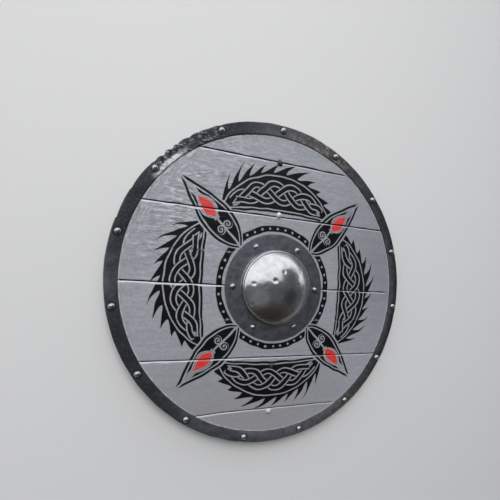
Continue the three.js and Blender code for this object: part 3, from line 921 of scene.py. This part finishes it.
# ------------------------------------------------------------------ rivets
# Mild steel rivets with domed heads, set by hand: the head on the face, the tail peened over at the
# back. Those on the rim and the boss are bright; the four on the batten were painted over with the board.

RIVET_SEGMENTS = 40
HEAD_HEIGHT = 4.2
HEAD_RADIUS = 6.0
SHANK_RADIUS = 2.5
TAIL_HEIGHT = 1.9
BOSS_RIVETS = 6
BLACKENED = {1: 1.0, 2: 0.0, 3: 1.0, 4: 0.0}     # grip rivets under black paint, and those under grey

# Forged steel, polished by hand and by wear.
bright_steel, tree, place, kept = new_finish("polished_mild_steel")
mottle = blotches(tree, place, 5)
shade(tree, {"Base Color": coat(tree, "#97989a", "#bcbcbb", mottle), "Metallic": 1.0,
             "Roughness": node(tree, "MapRange", mottle, 0.3, 0.7, 0.16, 0.26)})

# The same steel under the board's acrylic, which is rubbed on the crown of the head. The tail is bare.
painted_steel, tree, place, kept = new_finish("acrylic_over_steel", "blackened", "crown", "tail")
mottle = blotches(tree, place, 5)
rubbing = node(tree, "MapRange", mottle, 0.35, 0.6, 0.5, 1.0)
rubbed = node(tree, "Math", kept["crown"], rubbing, operation="MULTIPLY")
half_bare = node(tree, "Math", rubbed, 0.6, operation="MULTIPLY")
acrylic = coat(tree, "#b2b4b8", "#161415", kept["blackened"])
rubbed_tone = coat(tree, "#e0e1e2", "#5d5853", kept["blackened"])
acrylic = node(tree, "Mix", rubbed, acrylic, rubbed_tone, data_type="RGBA")
shade(tree, {"Base Color": coat(tree, acrylic, "#8f8f8f", kept["tail"]),
             "Metallic": node(tree, "Math", half_bare, kept["tail"], operation="MAXIMUM"),
             "Roughness": node(tree, "MapRange", mottle, 0.3, 0.7, 0.22, 0.32)})


def rivet_profile(seat, clench):
    """Half of a rivet's section from the middle of its tail to the middle of its head: a low domed tail,
    the shank, and a head that is part of a sphere with a small soft brim."""
    tail = [(0, clench - TAIL_HEIGHT), (1.6, clench - 1.85), (3.0, clench - 1.5), (4.0, clench - 0.8),
            (4.4, clench)]
    shank = [(SHANK_RADIUS, clench), (SHANK_RADIUS, seat), (HEAD_RADIUS - 0.25, seat)]
    sphere = (HEAD_RADIUS ** 2 + HEAD_HEIGHT ** 2) / (2 * HEAD_HEIGHT)
    lean = math.degrees(math.asin(HEAD_RADIUS / sphere))
    dome = arc((0, seat + HEAD_HEIGHT - sphere), sphere, lean, 0, 14)
    dome[0] = (HEAD_RADIUS, seat + 0.25)
    return np.array(tail + shank + dome)


def add_rivet(name, cad_node, finish, seed, flattened=0.0):
    """A rivet in its CAD node's place. Its head is slightly out of round and marked by the hammer."""
    low, high = corners(cad_node)
    seat = high[2] - HEAD_HEIGHT
    profile = rivet_profile(seat, low[2] + TAIL_HEIGHT)
    turned, radius, level = turned_profile(profile, RIVET_SEGMENTS)
    x, y = radius * np.cos(turned), radius * np.sin(turned)
    on_head = smooth(level, seat, seat + 1.0)
    marks = np.clip(0.10 * (1 + ripple(x, y, 6, seed)), 0, 0.4)
    crater = flattened * round_fade(x, y, (0, 0), (2.6, 2.6))
    squeeze = 1 - 0.03 * (1 + np.cos(2 * turned + seed))
    middle_x, middle_y = middle(cad_node)[:2]
    skin = (middle_x + x * squeeze, middle_y + y * squeeze, level - on_head * (marks + crater))
    return new_piece(name, skin, grid_quads(skin, joined=(0,)), finish, [cad_node], crease=50)


for number in range(1, RIM_RIVETS + 1):
    add_rivet(f"rim_stud_{number:02d}", f"rim_rivet_{number:02d}", bright_steel, 200 + number)
for number in range(1, BOSS_RIVETS + 1):
    add_rivet(f"boss_stud_{number}", f"boss_rivet_{number}", bright_steel, 230 + number,
              flattened=1.3 if number == BOSS_RIVETS else 0.0)
for number, blackness in BLACKENED.items():
    stud = add_rivet(f"grip_stud_{number}", f"grip_rivet_{number}", painted_steel,
                     250 + number)
    level = places(stud)[2]
    crown = smooth(level, level.max() - 2.4, level.max() - 0.4)
    mark(stud, blackened=np.full(len(level), blackness), crown=crown, tail=level < BOARD_FRONT - 1)

# ------------------------------------------------------------------ grip batten
# An ash lath across the back, its edges rounded over with a spokeshave and waisted where the hand closes
# round it. It is oiled and a little darkened by handling; four rivets hold it, their tails sunk in it.

BATTEN_HALF_WIDTH, BATTEN_HALF_LENGTH, BATTEN_FRONT = corners("grip_batten")[1]
GRIP_HALF_WIDTH = 14.0
END_ROUND = 15                        # length of each rounded end
RECESS_DEPTH = 3.5
RECESS_RADIUS = 6.4
DRILL_SIDES = 36
ASH_GRAIN = (2.5, 160, 6)             # mm across, along and through the lath

# Ash, planed and oiled: brown year rings along the lath, nearly black-brown where the hand holds it.
oiled_ash, tree, place, kept = new_finish("oiled_ash", "handled")
grain = node(tree, "Mapping", place, None, None, [1000 / size for size in ASH_GRAIN])
rings = node(tree, "TexNoise", grain, 1.0, 5.0)
wood = coat(tree, "#7c5a35", "#a98354", rings, 0.3, 0.7)
shade(tree, {"Base Color": coat(tree, wood, "#4f3821", kept["handled"], 0.0, 1.0, 0.0, 0.6),
             "Roughness": node(tree, "MapRange", rings, 0.3, 0.7, 0.42, 0.6),
             "Normal": node(tree, "Bump", 0.3, 0.4 * MM, None, rings)})

# The lath is a squarish rounded section, a superellipse, carried along Y, which narrows at the grip and
# rounds off at both ends: x = half width * cos ** (2 / n) and z likewise with the sine, n from 3.5 to 7.
end_rows = END_ROUND * (1 - np.cos(np.linspace(0, math.pi / 2, 12)))
even_rows = np.linspace(2 + END_ROUND - BATTEN_HALF_LENGTH, BATTEN_HALF_LENGTH - END_ROUND - 2, 220)
along = np.concatenate([end_rows - BATTEN_HALF_LENGTH, even_rows, BATTEN_HALF_LENGTH - end_rows[::-1]])
into_end = np.clip((np.abs(along) - (BATTEN_HALF_LENGTH - END_ROUND)) / END_ROUND, 0, 1)
waist = smooth(np.abs(along), 45, 85)
half_width = GRIP_HALF_WIDTH + (BATTEN_HALF_WIDTH - GRIP_HALF_WIDTH) * waist
half_width = half_width * np.sqrt(np.clip(1 - 0.8 * into_end ** 2, 0, None))
half_width[[0, -1]] *= 0.001
power = (2 / (7 - 3.5 * (1 - waist)))[:, None]
turned = np.linspace(0, 2 * math.pi, 64, endpoint=False)[None, :]
cosine, sine = np.cos(turned), np.sin(turned)
x = half_width[:, None] * np.sign(cosine) * np.abs(cosine) ** power
z = BATTEN_FRONT / 2 * (1 + np.sign(sine) * np.abs(sine) ** power)
lath = (x, np.broadcast_to(along[:, None], x.shape), z)


def close_ends(work):
    """Closes the batten's two ends."""
    bmesh.ops.holes_fill(work, edges=[edge for edge in work.edges if edge.is_boundary], sides=0)


batten = new_piece("grip", lath, grid_quads(lath, joined=(1,)), oiled_ash, ["grip_batten"],
                   closing=close_ends)

# The four recesses are cut by drills: flat-bottomed cylinders with a slightly broken mouth.
drill_profile = np.array([(RECESS_RADIUS + 2, -1.4), (RECESS_RADIUS, 0.6), (RECESS_RADIUS, RECESS_DEPTH)])
turned, radius, level = turned_profile(drill_profile, DRILL_SIDES)
drill_points, drill_faces = [], []
for number in BLACKENED:
    middle_x, middle_y = middle(f"grip_rivet_{number}")[:2]
    drill = (middle_x + radius * np.cos(turned), middle_y + radius * np.sin(turned), level)
    start = len(drill_points) * level.size
    drill_points.append(np.stack(drill, axis=-1).reshape(-1, 3))
    mouth = np.arange(start, start + level.size, drill_profile.shape[0])
    sides = grid_quads(drill, joined=(0,))[..., ::-1].reshape(-1, 4) + start
    drill_faces += sides.tolist() + [mouth[::-1].tolist(), (mouth + 2).tolist()]
drill_mesh = bpy.data.meshes.new("drills")
drill_mesh.from_pydata(np.concatenate(drill_points) * MM, [], drill_faces)
drills = add_object("drills", drill_mesh)
cut = batten.modifiers.new("recesses", "BOOLEAN")
cut.operation = "DIFFERENCE"
cut.solver = "EXACT"
cut.object = drills
bpy.context.view_layer.update()
bored = bpy.data.meshes.new_from_object(batten.evaluated_get(bpy.context.evaluated_depsgraph_get()))
batten.modifiers.remove(cut)
batten.data = bored
bored.set_sharp_from_angle(angle=math.radians(35))
mark(batten, handled=np.exp(-(places(batten)[1] / 48) ** 4))
bpy.data.objects.remove(drills)
